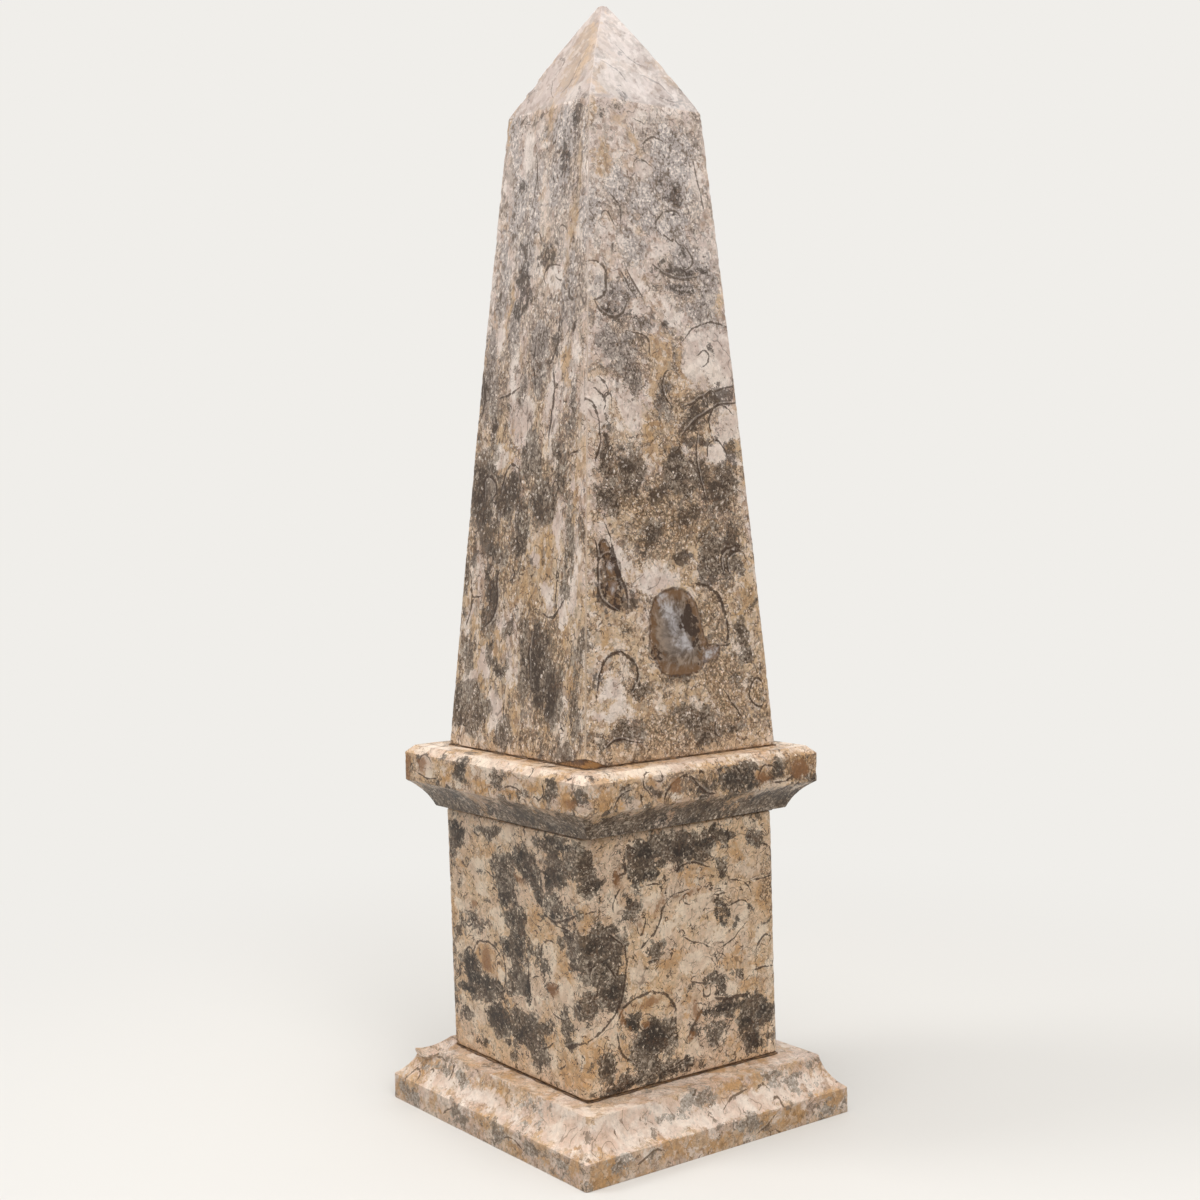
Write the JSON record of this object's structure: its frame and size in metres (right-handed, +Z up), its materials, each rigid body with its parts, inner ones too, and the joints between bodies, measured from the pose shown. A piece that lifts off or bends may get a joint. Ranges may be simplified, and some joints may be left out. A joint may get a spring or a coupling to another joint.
{
  "type": "stone obelisk ornament",
  "caption": "Table-top stone obelisk: tapered square shaft with a pyramid point, glued on a cap slab, pedestal block and coved base slab.",
  "frame": {"origin": "centre of the base slab's underside", "axes": "+Z up along the shaft; -Y and +X look out of the two show faces"},
  "size_m": [0.0752, 0.0752, 0.25],
  "materials": {
    "base_stone": "polished pinkish cream limestone with pale grey patches",
    "pedestal_stone": "polished beige limestone with dark grey crystalline patches and shell outlines",
    "cap_stone": "polished ochre and beige limestone",
    "shaft_stone": "polished beige and tan limestone with an agate nodule and brown bands",
    "glue": "dark brown resin glue",
    "resin": "brown translucent filling resin"
  },
  "bodies": {
    "root": {"base_slab": "base_stone", "base_glue_bed": "glue", "pedestal_block": "pedestal_stone", "pedestal_glue_bed": "glue", "cap_slab": "cap_stone", "shaft_glue_bed": "glue", "obelisk_shaft": "shaft_stone", "corner_fill": "resin"}
  },
  "joints": []
}
